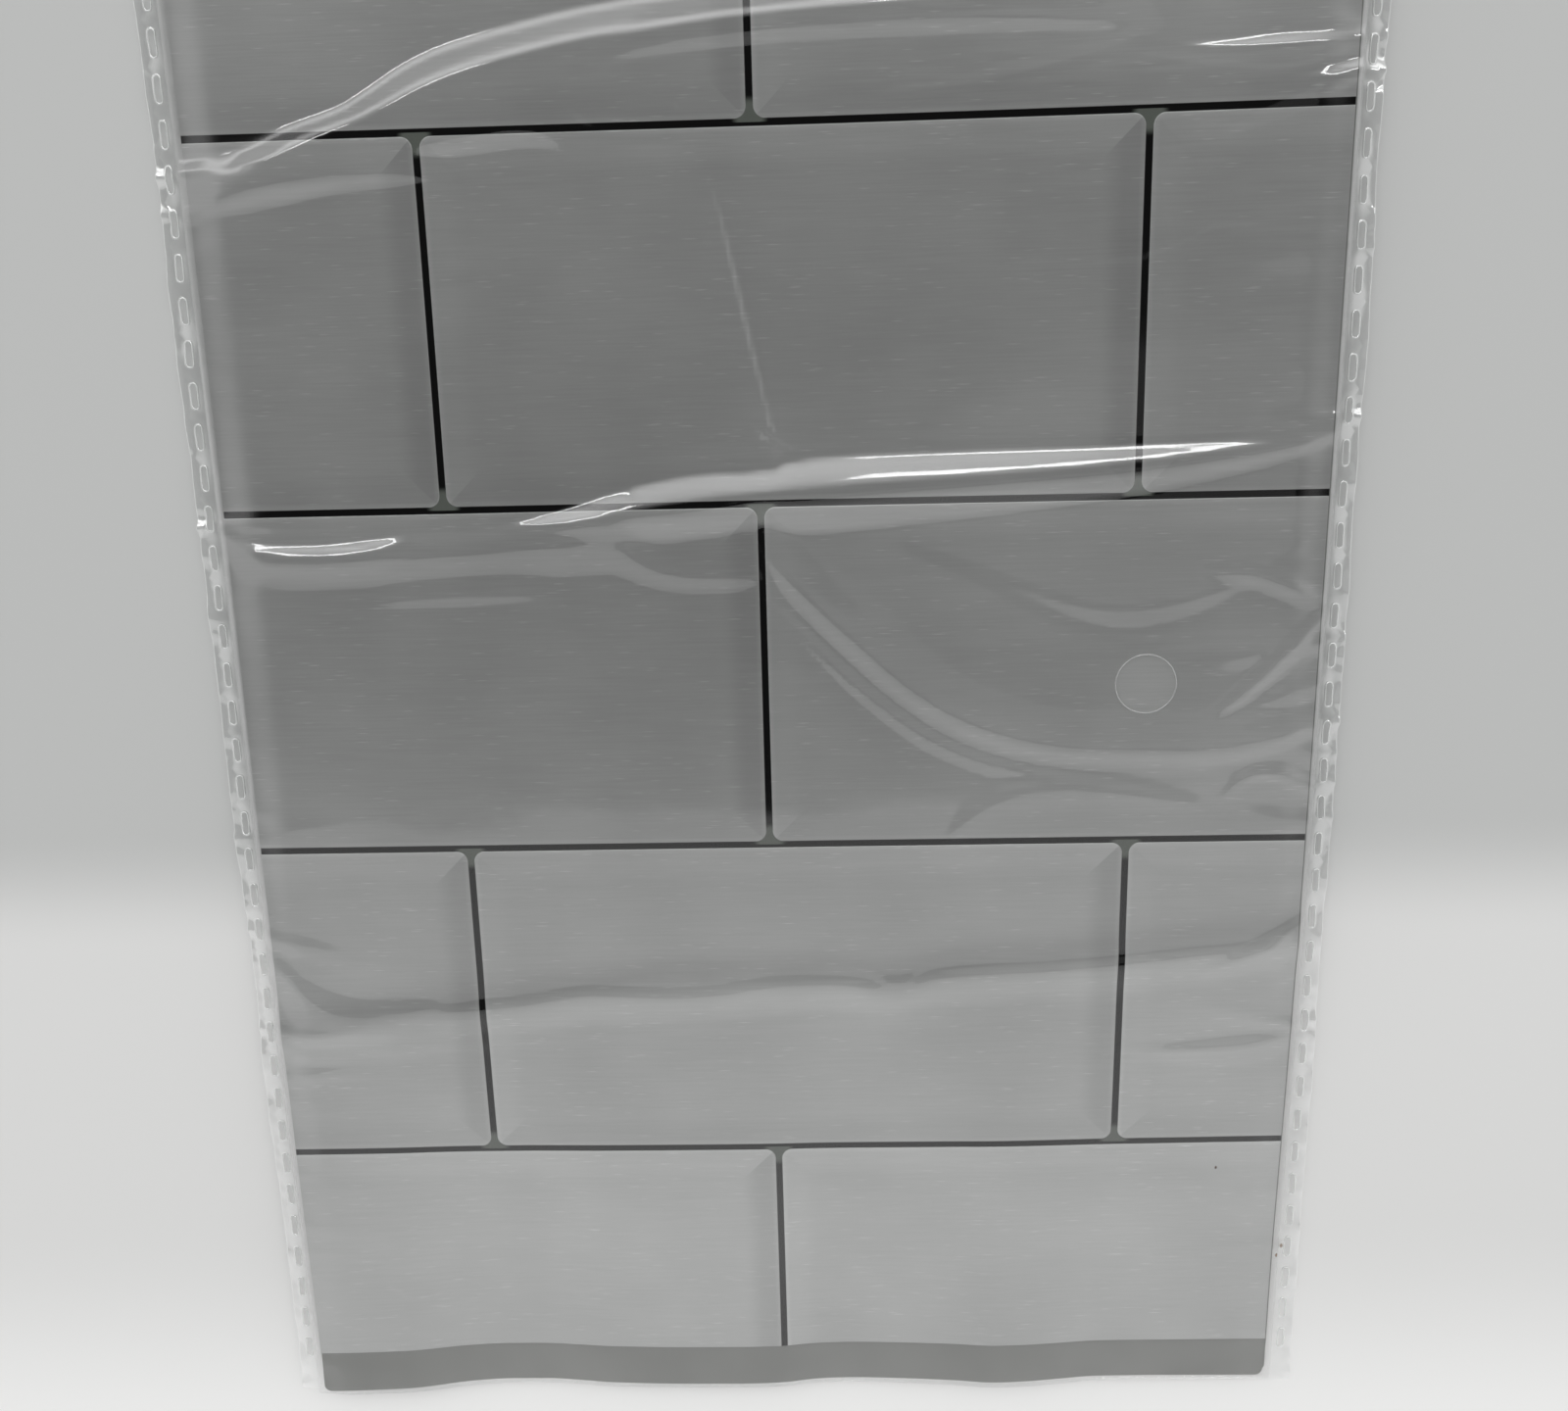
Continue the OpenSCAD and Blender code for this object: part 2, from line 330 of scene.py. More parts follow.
# Folds of the loose front film: height, half width above and below the crest, share of each
# flank that is rounded off, then the crest from left to right, with how far each point is
# scaled down from the full fold. Places and sizes are in mm.
FOLDS = {
    "top_band": (2.6, 7.2, 18.0, 0.2, (
        (-119, 44.5, 0.3), (-108, 42.9, 0.5), (-99.4, 46.2, 0.6), (-94, 48.8, 0.6),
        (-83, 52, 0.6), (-78, 53.5, 0.75), (-64.3, 59.6, 1), (-48.5, 63.6, 1),
        (-31.5, 66.9, 1), (-0.9, 70.4, 1), (40, 72, 1), (75, 72, 0.5))),
    "top_knot": (0.7, 1.8, 1.8, 0.3, ((-106, 47, 0.3), (-101, 45.5, 1), (-95, 47.5, 0.3))),
    "top_lens": (0.5, 8.0, 3.6, 0.3, (
        (-34, 63.0, 0.2), (-15, 67, 0.9), (6, 68.6, 1), (40, 69, 1), (70, 67, 0.4))),
    "top_right": (0.9, 2.6, 5.0, 0.3, (
        (70, 63, 0.1), (90, 61, 0.6), (106, 61.5, 1), (119, 62, 0.6))),
    "left_leaf": (1.1, 9.0, 4.0, 0.2, (
        (-119, 34.5, 0.2), (-111, 39.2, 0.7), (-94, 42.3, 1), (-74, 43.2, 0.8),
        (-60, 42, 0.1))),
    "tile_lens": (0.8, 8.0, 4.5, 0.35, (
        (-78, 46, 0.2), (-60, 49.5, 0.7), (-46, 51, 1), (-38, 48.5, 0.9), (-31, 42, 0.4),
        (-29, 36, 0.1))),
    "upright": (1.1, 2.6, 9.0, 0.2, (
        (-20, 59, 0.05), (-18.5, 56.4, 0.1), (-13.9, 49.4, 0.35), (-9.5, 35.6, 0.7),
        (-6.7, 21.3, 0.9), (-3.9, 7.7, 0.9), (-0.1, -8.1, 0.8), (2, -16, 0.3))),
    "broad": (3.3, 10.0, 9.0, 0.2, (
        (-56, -29, 0.05), (-44, -28.5, 0.35), (-28, -27, 0.75), (-12, -25, 0.8),
        (-2, -24, 0.65), (6, -24, 0.95), (24, -22.8, 0.9), (47, -21.6, 0.8),
        (79.5, -19.5, 0.6), (109.7, -15.5, 0.3), (119, -12.5, 0.15))),
    "broad_peak": (0.6, 1.7, 3.0, 0.3, ((-4, -6, 0.1), (2, -10.5, 1), (8, -16, 0.2))),
    "broad_tail": (0.5, 2.6, 2.0, 0.3, ((-33, -17, 0.1), (-31, -19.5, 0.8), (-28, -23, 0.2))),
    "third_main": (1.2, 6.0, 7.5, 0.2, (
        (-119, -28, 0.1), (-115, -32, 0.6), (-109.2, -35.7, 0.9), (-95.2, -35.6, 0.85),
        (-79.6, -34.8, 0.9), (-58.4, -33.4, 1), (-42.2, -32.3, 1.1), (-32.5, -32.5, 1),
        (-27.5, -37, 0.7), (-20, -39.9, 0.6), (-5.5, -40.3, 0.55), (-2, -41, 0.1))),
    "crescent": (0.55, 3.2, 6.0, 0.25, (
        (-119, -29, 0.2), (-112, -33.5, 0.8), (-95.1, -35, 1), (-82, -33, 0.9),
        (-77, -30, 0.2))),
    "third_lens": (0.35, 5.0, 5.5, 0.25, (
        (-90, -46, 0.1), (-81, -43, 0.8), (-66, -42, 1), (-52, -42, 0.9), (-44, -43.5, 0.1))),
    "joint_lens": (0.3, 3.0, 4.6, 0.25, (
        (-28, -31.5, 0.1), (-22, -28.5, 0.9), (-3.5, -27.4, 0.9), (2, -28, 0.2))),
    "smile": (0.9, 9.0, 4.0, 0.2, (
        (-3, -30, 0.4), (3.4, -40.4, 0.9), (11.9, -49.4, 1), (20.6, -57.7, 1), (29.3, -66, 1),
        (42.6, -74.7, 1), (60.5, -79.9, 1), (78.2, -80.7, 1), (96, -81.4, 1),
        (109, -78.9, 0.9), (119, -74, 0.3))),
    "smile_low": (0.3, 1.6, 2.7, 0.2, (
        (-2, -46, 0.4), (7.4, -53.6, 0.9), (16.1, -62.8, 1), (24.9, -70.4, 1),
        (33.7, -77, 1), (42.7, -81.5, 0.9), (51.6, -84.3, 0.8), (66, -86, 0.1))),
    "third_right": (0.35, 10.0, 7.0, 0.4, (
        (30, -34, 0.2), (50, -40, 0.8), (72, -49, 1), (92, -46, 0.9), (112, -36, 0.3))),
    "side_upper": (0.7, 3.0, 3.4, 0.3, (
        (88, -42, 0.1), (98, -41, 0.6), (110, -44, 1), (119, -50, 0.3))),
    "side_fan": (0.9, 3.0, 3.0, 0.3, (
        (92, -76, 0.1), (102, -68, 0.8), (110, -60, 1), (119, -50, 0.3))),
    "side_curl": (0.7, 2.2, 2.2, 0.3, (
        (99, -92, 0.1), (104, -86, 0.8), (111, -86, 1), (119, -90, 0.4))),
    "low_right": (0.3, 6.0, 8.0, 0.4, (
        (38, -101, 0.2), (48, -92, 0.8), (62, -88, 1), (92, -93, 0.3))),
    "dark_leaf": (0.9, 5.5, 10.0, 0.2, (
        (-119, -124, 0.1), (-115.2, -132, 0.5), (-106.6, -141, 1), (-98.1, -142.8, 0.9),
        (-87, -140.5, 0.5), (-80, -139.5, 0.2))),
    "pinch_leaf": (0.45, 2.4, 3.0, 0.3, (
        (-119, -145, 0.3), (-114, -146.8, 0.8), (-107.3, -147.4, 1), (-100, -145.5, 0.5),
        (-92, -142, 0.1))),
    "ridge_film": (0.5, 2.6, 9.0, 0.3, (
        (-90, -142, 0.3), (-68.9, -140.6, 0.9), (-58.4, -139.7, 1), (-45.9, -137.3, 1),
        (-39.3, -137.7, 1), (-25.2, -138.6, 1), (-12.9, -137.8, 1), (-1.6, -135.6, 1),
        (14.4, -135.6, 0.9), (23.4, -136.9, 0.9), (26.8, -138.2, 0.8), (31.3, -135.8, 0.9),
        (36.9, -133.8, 1), (68.2, -132.6, 1), (100, -129, 1), (119, -127, 0.5))),
    "ridge_notch": (0.5, 1.5, 2.0, 0.3, ((20, -132, 0.3), (26.8, -136.5, 1), (33, -131.5, 0.3))),
    "low_line": (0.12, 0.8, 3.0, 0.3, (
        (-119, -151.5, 1), (-97.8, -151, 1), (-70.6, -148.3, 1), (-45.7, -147, 1),
        (-11.4, -145.2, 1), (23.4, -143.9, 1), (60, -142, 0.5))),
    "low_left": (0.5, 1.6, 6.0, 0.3, ((-119, -158, 0.6), (-111.8, -156, 0.8), (-96, -156, 0.1))),
    "right_lens": (0.8, 3.6, 6.0, 0.25, (
        (76, -153, 0.05), (92, -153.5, 0.6), (108, -152.5, 1), (119, -150, 0.4))),
    "right_leaf": (0.9, 3.6, 6.0, 0.25, (
        (94, -134, 0.05), (104, -131, 0.6), (112, -126.5, 1), (119, -121, 0.4))),
    "slant": (0.16, 0.9, 1.4, 0.3, (
        (14, 27, 0.3), (37, 37, 1), (80, 50, 1), (119, 58, 0.5))),
    "slant_low": (0.14, 0.9, 1.4, 0.3, (
        (14, 27, 0.3), (40, 25, 1), (76, 22, 1), (99, 34, 1), (118, 12, 0.5))),
    "vent_crease": (0.16, 0.7, 0.7, 0.3, ((81.5, -60, 1), (84, -52, 0.3))),
}

# Gathers at the side welds: side, place up the pack, height and reach inwards, in mm
GATHERS = ((-1, 44, 0.9, 14), (-1, 37, 0.6, 10), (-1, -28, 1.0, 16), (-1, -99, 0.5, 12),
           (-1, -122, 0.7, 14), (-1, -147, 0.6, 12), (1, 57, 1.0, 18), (1, 63, 0.5, 12),
           (1, -10, 0.9, 10), (1, -57, 0.5, 14), (1, -76, 0.8, 12), (1, -83, 0.5, 9),
           (1, -90, 0.6, 8), (1, -98, 0.5, 9), (1, -148, 0.7, 12), (1, 24, 0.4, 12))


def flank(t, soft):
    """Fall from 1 to 0 in a straight slope that is rounded off at both ends."""
    t = np.clip(t, 0, 1)
    round_off = 2 * soft * (1 - soft)
    return 1 - np.where(t < soft, t ** 2 / round_off,
                        np.where(t > 1 - soft, 1 - (1 - t) ** 2 / round_off,
                                 (t - soft / 2) / (1 - soft)))


def folds(x, y):
    """Height of the film's named folds, in millimetres."""
    total = np.zeros(x.shape)
    for height, above, below, soft, points in FOLDS.values():
        gap, size, upper = near_line(x, y, rounded_line(points))
        half = np.where(upper, above, below) * size
        total += height * size * flank(gap / half, soft)
    return total


def gathers(x, y, seed):
    """Short gathers of the film that run in from the side welds, in millimetres."""
    rng = np.random.default_rng(seed)
    lines = [(side, place, height, reach, rng.uniform(-0.3, 0.3), rng.uniform(1.0, 1.6))
             for side, place, height, reach in GATHERS]
    for side in (-1, 1):
        place = BAG_LOW[1] / MM
        while place < BAG_HIGH[1] / MM:
            place += rng.uniform(7, 16)
            lines.append((side, place, rng.uniform(0.08, 0.35), rng.uniform(3, 14),
                          rng.uniform(-0.35, 0.35), rng.uniform(0.9, 1.8)))
    total = np.zeros(x.shape)
    half = SHEET_HALF / MM + 2
    for side, place, height, reach, lean, width in lines:
        inward = np.clip(half - side * x / MM, 0, None)
        spread_out = width * (1 + inward / reach)
        total += height * bump(y / MM, place + lean * inward, spread_out) \
            * np.exp(-inward / reach)
    return total


def slack(x, y, seed):
    """How far the front film stands off the stack, in metres."""
    inside = smooth((SHEET_HALF + 1 * MM - np.abs(x)) / (9 * MM))
    broad = 0.75 + 0.22 * ripples(x, y, seed, 75 * MM, stretch=0.6)
    fine = 0.014 * ripples(x, y, seed + 1, 17 * MM, count=14, stretch=0.4) \
        + 0.0025 * ripples(x, y, seed + 3, 5 * MM, count=20)
    total = inside * (np.clip(broad, 0.3, None) + fine) + folds(x, y) \
        + gathers(x, y, seed + 2)
    return np.clip(total, 0.02, None) * MM


def front_height(x, y, seed):
    """Height of the loose front film, kept under the top of the CAD bag."""
    stack, top = lift(x, y, ridge=0) + STACK_T, BAG_HIGH[2] + 0.05 * MM
    room = top - stack
    film = stack + room * (1 - np.exp(-(slack(x, y, seed) / room) ** 4)) ** 0.25
    return np.maximum(film, lift(x, y) + STACK_T + 0.02 * MM)


def rise(x, y, bag):
    """From 0 where the two films are closed to 1 where they are full apart."""
    half = BAG_HIGH[0] - bag.seam_w
    side = np.clip((half - np.abs(x)) / bag.side_run, 0, 1)
    foot = np.clip((y - BAG_LOW[1] - bag.foot_fold) / bag.foot_run, 0, 1)
    top = np.clip((BAG_HIGH[1] - bag.seam_w - y) / bag.top_run, 0, 1)
    return (1 - (1 - side) ** 3) * (1 - (1 - foot) ** 3) * smooth(top)


# ---------------------------------------------------------------- meshes
def grid_faces(columns, rows):
    """Faces of a grid whose points run along its rows."""
    i, j = np.meshgrid(np.arange(columns - 1), np.arange(rows - 1))
    a = (j * columns + i).ravel()
    return np.stack([a, a + 1, a + columns + 1, a + columns], axis=1)


def border_loop(columns, rows):
    """Points round the edge of a grid, anticlockwise from above."""
    low = np.arange(columns)
    right = np.arange(1, rows) * columns + columns - 1
    high = (rows - 1) * columns + np.arange(columns - 2, -1, -1)
    left = np.arange(rows - 2, 0, -1) * columns
    return np.concatenate([low, right, high, left])


def new_object(name, points, faces, material, smooth_shade=True):
    """Make a mesh object at the origin from points and faces, with its material, and link it to the
    scene.
    """
    mesh = bpy.data.meshes.new(name)
    mesh.from_pydata(np.asarray(points).tolist(), [], np.asarray(faces).tolist())
    mesh.polygons.foreach_set("use_smooth", [smooth_shade] * len(mesh.polygons))
    mesh.materials.append(material)
    mesh.update()
    obj = bpy.data.objects.new(name, mesh)
    bpy.context.scene.collection.objects.link(obj)
    return obj


def slab(name, x, y, low, high, material):
    """A closed plate between two heights over one grid."""
    rows, columns = x.shape
    top = np.stack([x, y, high], axis=-1).reshape(-1, 3)
    under = np.stack([x, y, low], axis=-1).reshape(-1, 3)
    faces = grid_faces(columns, rows)
    count = rows * columns
    loop = border_loop(columns, rows)
    after = np.roll(loop, -1)
    wall = np.stack([loop + count, after + count, after, loop], axis=1)
    every = np.concatenate([faces, faces[:, ::-1] + count, wall])
    obj = new_object(name, np.concatenate([top, under]), every, material)
    obj.data.set_sharp_from_angle(angle=math.radians(40))
    return obj


def spread(low, high, step):
    """Evenly spaced values from low to high, about one step apart."""
    return np.linspace(low, high, max(2, int(round((high - low) / step)) + 1))


def with_lines(values, extra):
    """Add extra grid lines, and drop the even ones that lie too close to them."""
    extra = np.array(sorted(extra))
    gap = 0.25 * (values[1] - values[0])
    keep = [v for v in values if np.min(np.abs(extra - v)) > gap]
    keep += [values[0], values[-1]]
    return np.unique(np.round(np.concatenate([keep, extra]), 7))


def clip_corners(x, y, low, high, radius):
    """Round the two foot corners of a grid."""
    for side in (-1, 1):
        edge = high[0] if side > 0 else low[0]
        a = (radius - side * (edge - x)) / radius
        b = (radius - (y - low[1])) / radius
        inside = (a > 0) & (b > 0)
        reach = np.maximum(a, b)
        size = np.maximum(np.hypot(a, b), 1e-9)
        shrink = np.where(inside, reach / size, 1)
        x = np.where(inside, edge - side * radius + side * a * shrink * radius, x)
        y = np.where(inside, low[1] + radius - b * shrink * radius, y)
    return x, y


# ---------------------------------------------------------------- materials
def add(tree, kind, inputs=None, **settings):
    """Add a node with its settings, and set or link its inputs."""
    node = tree.nodes.new(kind)
    for key, value in settings.items():
        setattr(node, key, value)
    for key, value in (inputs or {}).items():
        socket = node.inputs[key]
        if isinstance(value, bpy.types.NodeSocket):
            tree.links.new(value, socket)
        else:
            socket.default_value = value
    return node


def new_material(name):
    """Start an empty node material, and return it with its tree."""
    material = bpy.data.materials.new(name)
    material.use_nodes = True
    material.node_tree.nodes.clear()
    return material, material.node_tree


def finish_material(tree, shader):
    """Link a shader to the material's output."""
    add(tree, "ShaderNodeOutputMaterial", {"Surface": shader})


def specks(tree, place, spots, colour, clean):
    """Lay small specks of dirt, each at a named place with its radius in mm, over a colour."""
    for x, y, radius in spots:
        away = add(tree, "ShaderNodeVectorMath", {0: place, 1: (x * MM, y * MM, 0)},
                   operation="SUBTRACT")
        level = add(tree, "ShaderNodeVectorMath", {0: away.outputs[0], 1: (1 / MM, 0.6 / MM, 0)},
                    operation="MULTIPLY")
        reach = add(tree, "ShaderNodeVectorMath", {0: level.outputs[0]}, operation="LENGTH")
        mask = add(tree, "ShaderNodeMapRange",
                   {0: reach.outputs["Value"], 1: radius * 0.5, 2: radius, 3: 1.0, 4: 0.0},
                   interpolation_type="SMOOTHSTEP")
        clean = add(tree, "ShaderNodeMix", {0: mask.outputs[0], 6: clean, 7: (*colour, 1)},
                    data_type="RGBA").outputs[2]
    return clean


def silver_print(sheet):
    """Silver ink under clear vinyl, laid down in fine level lines.

    The ink is a rough metal, so a tile takes the brightness of what it faces, while the
    black joints stay dark.
    """
    material, tree = new_material("silver_ink_print")
    mm = 1000
    place = add(tree, "ShaderNodeTexCoord").outputs["Object"]
    cell = (sheet.tile_pitch * mm, sheet.course_pitch * mm, 1)
    origin = (sheet.joint_x, FOOT + sheet.foot_course, 0)
    moved = add(tree, "ShaderNodeVectorMath", {0: place, 1: origin}, operation="SUBTRACT")
    units = add(tree, "ShaderNodeVectorMath",
                {0: moved.outputs[0], 1: (mm / cell[0], mm / cell[1], 0)}, operation="MULTIPLY")
    split = add(tree, "ShaderNodeSeparateXYZ", {0: units.outputs[0]})
    row = add(tree, "ShaderNodeMath", {0: split.outputs["Y"]}, operation="FLOOR")
    odd = add(tree, "ShaderNodeMath", {0: row.outputs[0], 1: 2.0}, operation="FLOORED_MODULO")
    shift = add(tree, "ShaderNodeMapRange",
                {0: odd.outputs[0], 3: -sheet.bond_shift * mm / cell[0], 4: 0.0})
    along = add(tree, "ShaderNodeMath", {0: split.outputs["X"], 1: shift.outputs[0]},
                operation="ADD")
    part_x = add(tree, "ShaderNodeMath", {0: along.outputs[0]}, operation="FRACT")
    part_y = add(tree, "ShaderNodeMath", {0: split.outputs["Y"]}, operation="FRACT")
    part = add(tree, "ShaderNodeCombineXYZ", {0: part_x.outputs[0], 1: part_y.outputs[0]})
    offset = add(tree, "ShaderNodeVectorMath", {0: part.outputs[0], 1: (0.5, 0.5, 0)},
                 operation="SUBTRACT")
    folded = add(tree, "ShaderNodeVectorMath", {0: offset.outputs[0]}, operation="ABSOLUTE")
    reach = add(tree, "ShaderNodeVectorMath", {0: folded.outputs[0], 1: cell},
                operation="MULTIPLY")

    # Distance past the rounded outline of a tile, in millimetres
    half = [c / 2 - sheet.grout_w * mm / 2 for c in cell[:2]]
    radius = sheet.tile_r * mm
    past = add(tree, "ShaderNodeVectorMath",
               {0: reach.outputs[0], 1: (half[0] - radius, half[1] - radius, 0)},
               operation="SUBTRACT")
    outside = add(tree, "ShaderNodeVectorMath", {0: past.outputs[0], 1: (0, 0, 0)},
                  operation="MAXIMUM")
    length = add(tree, "ShaderNodeVectorMath", {0: outside.outputs[0]}, operation="LENGTH")
    edge = add(tree, "ShaderNodeMath", {0: length.outputs["Value"], 1: radius},
               operation="SUBTRACT")
    joint = add(tree, "ShaderNodeMapRange", {0: edge.outputs[0], 1: -0.14, 2: 0.10},
                interpolation_type="SMOOTHSTEP")

    # Distance from a joint crossing, which is printed in a lighter grey
    crossing = add(tree, "ShaderNodeVectorMath",
                   {0: reach.outputs[0], 1: (cell[0] / 2, cell[1] / 2 - 1.2, 0)},
                   operation="SUBTRACT")
    from_crossing = add(tree, "ShaderNodeVectorMath", {0: crossing.outputs[0]},
                        operation="LENGTH")
    crossing_mask = add(tree, "ShaderNodeMapRange",
                        {0: from_crossing.outputs["Value"], 1: 2.2, 2: 4.0, 3: 1.0, 4: 0.0},
                        interpolation_type="SMOOTHSTEP")

    # The printed bevel: one shade on each side, with mitred corners
    band = add(tree, "ShaderNodeVectorMath", {0: (half[0], half[1], 0), 1: reach.outputs[0]},
               operation="SUBTRACT")
    band_xy = add(tree, "ShaderNodeSeparateXYZ", {0: band.outputs[0]})
    upright = add(tree, "ShaderNodeMath", {0: band_xy.outputs["X"], 1: band_xy.outputs["Y"]},
                  operation="LESS_THAN")
    nearest = add(tree, "ShaderNodeMath", {0: band_xy.outputs["X"], 1: band_xy.outputs["Y"]},
                  operation="MINIMUM")
    bevel = add(tree, "ShaderNodeMapRange",
                {0: nearest.outputs[0], 1: sheet.bevel_w * mm * 0.45,
                 2: sheet.bevel_w * mm * 1.15, 3: 1.0, 4: 0.0},
                interpolation_type="SMOOTHSTEP")
    offset_xy = add(tree, "ShaderNodeSeparateXYZ", {0: offset.outputs[0]})
    shade_x = add(tree, "ShaderNodeMapRange",
                  {0: offset_xy.outputs["X"], 1: -0.01, 2: 0.01, 3: 1.05, 4: 0.86})
    shade_y = add(tree, "ShaderNodeMapRange",
                  {0: offset_xy.outputs["Y"], 1: -0.01, 2: 0.01, 3: 0.93, 4: 1.09})
    shade = add(tree, "ShaderNodeMix",
                {0: upright.outputs[0], 2: shade_y.outputs[0], 3: shade_x.outputs[0]})
    bevelled = add(tree, "ShaderNodeMix",
                   {0: bevel.outputs[0], 2: 1.0, 3: shade.outputs[0]})
    rim = add(tree, "ShaderNodeMapRange",
              {0: edge.outputs[0], 1: -1.3, 2: -0.3, 3: 1.0, 4: 1.10},
              interpolation_type="SMOOTHSTEP")
    with_rim = add(tree, "ShaderNodeMath", {0: bevelled.outputs[0], 1: rim.outputs[0]},
                   operation="MULTIPLY")

    # Level hairlines 0.3 mm apart and some 14 mm long
    lines_place = add(tree, "ShaderNodeVectorMath", {0: place, 1: (70, 3000, 70)},
                      operation="MULTIPLY")
    hairlines = add(tree, "ShaderNodeTexNoise",
                    {"Vector": lines_place.outputs[0], "Scale": 1.0, "Detail": 2.0,
                     "Roughness": 0.6})
    mottle = add(tree, "ShaderNodeTexNoise",
                 {"Vector": place, "Scale": 26.0, "Detail": 3.0, "Roughness": 0.5})
    hair_gain = add(tree, "ShaderNodeMapRange",
                    {0: hairlines.outputs[0], 1: 0.3, 2: 0.7, 3: 0.965, 4: 1.035})
    mottle_gain = add(tree, "ShaderNodeMapRange",
                      {0: mottle.outputs[0], 1: 0.3, 2: 0.7, 3: 0.94, 4: 1.06})
    grain = add(tree, "ShaderNodeMath", {0: hair_gain.outputs[0], 1: mottle_gain.outputs[0]},
                operation="MULTIPLY")

    # Sparse light scratches, 2 to 6 mm long, drawn from stretched cells on a slant
    scratched = None
    for turn, stretch in ((0.12, (260, 3000, 60)), (-0.35, (210, 2600, 60))):
        slanted = add(tree, "ShaderNodeMapping",
                      {"Vector": place, "Rotation": (0, 0, turn), "Scale": stretch})
        cells = add(tree, "ShaderNodeTexVoronoi", {"Vector": slanted.outputs[0], "Scale": 1.0})
        pick = add(tree, "ShaderNodeSeparateXYZ", {0: cells.outputs["Color"]})
        rare = add(tree, "ShaderNodeMath", {0: pick.outputs[0], 1: 0.95},
                   operation="GREATER_THAN")
        core = add(tree, "ShaderNodeMapRange",
                   {0: cells.outputs["Distance"], 1: 0.1, 2: 0.42, 3: 0.26, 4: 0.0})
        mark = add(tree, "ShaderNodeMath", {0: rare.outputs[0], 1: core.outputs[0]},
                   operation="MULTIPLY")
        scratched = mark if scratched is None else add(
            tree, "ShaderNodeMath", {0: mark.outputs[0], 1: scratched.outputs[0]})
    grain = add(tree, "ShaderNodeMath", {0: grain.outputs[0], 1: scratched.outputs[0]})
    gain = add(tree, "ShaderNodeMath", {0: grain.outputs[0], 1: with_rim.outputs[0]},
               operation="MULTIPLY")
    face = add(tree, "ShaderNodeVectorMath", {0: tuple(sheet.face_colour)},
               operation="SCALE")
    tree.links.new(gain.outputs[0], face.inputs["Scale"])
    joint_tint = add(tree, "ShaderNodeMix",
                     {0: crossing_mask.outputs[0], 6: (*sheet.joint_colour, 1),
                      7: (*sheet.corner_colour, 1)}, data_type="RGBA")
    colour = add(tree, "ShaderNodeMix",
                 {0: joint.outputs[0], 6: face.outputs[0], 7: joint_tint.outputs[2]},
                 data_type="RGBA")
    soiled = specks(tree, place, SHEET_SPECKS, sheet.speck_colour, colour.outputs[2])
    metal = add(tree, "ShaderNodeMapRange", {0: joint.outputs[0], 3: 0.62, 4: 0.0})
    rough = add(tree, "ShaderNodeMapRange",
                {0: hairlines.outputs[0], 1: 0.3, 2: 0.7, 3: 0.29, 4: 0.33})
    recess = add(tree, "ShaderNodeMapRange", {0: joint.outputs[0], 3: 0.0, 4: -0.15 * MM})
    scored = add(tree, "ShaderNodeMath",
                 {0: hairlines.outputs[0], 1: 0.001 * MM, 2: recess.outputs[0]},
                 operation="MULTIPLY_ADD")
    relief = add(tree, "ShaderNodeBump", {"Distance": 1.0, "Height": scored.outputs[0]})
    shader = add(tree, "ShaderNodeBsdfPrincipled",
                 {"Base Color": soiled, "Metallic": metal.outputs[0],
                  "Roughness": rough.outputs[0], "Normal": relief.outputs[0],
                  "Specular IOR Level": 0.06})
    finish_material(tree, shader.outputs[0])
    return material


def grey_backing(sheet):
    """Calendered vinyl backing: an even satin grey with a faint mottle."""
    material, tree = new_material("calendered_vinyl_back")
    place = add(tree, "ShaderNodeTexCoord").outputs["Object"]
    mottle = add(tree, "ShaderNodeTexNoise",
                 {"Vector": place, "Scale": 60.0, "Detail": 4.0, "Roughness": 0.6})
    gain = add(tree, "ShaderNodeMapRange",
               {0: mottle.outputs[0], 1: 0.3, 2: 0.7, 3: 0.93, 4: 1.07})
    colour = add(tree, "ShaderNodeVectorMath", {0: tuple(sheet.back_colour)},
                 operation="SCALE")
    tree.links.new(gain.outputs[0], colour.inputs["Scale"])
    grain = add(tree, "ShaderNodeTexNoise",
                {"Vector": place, "Scale": 1800.0, "Detail": 2.0})
    relief = add(tree, "ShaderNodeBump",
                 {"Strength": 0.3, "Distance": 0.02 * MM, "Height": grain.outputs[0]})
    shader = add(tree, "ShaderNodeBsdfPrincipled",
                 {"Base Color": colour.outputs[0], "Roughness": 0.42,
                  "Normal": relief.outputs[0]})
    finish_material(tree, shader.outputs[0])
    return material


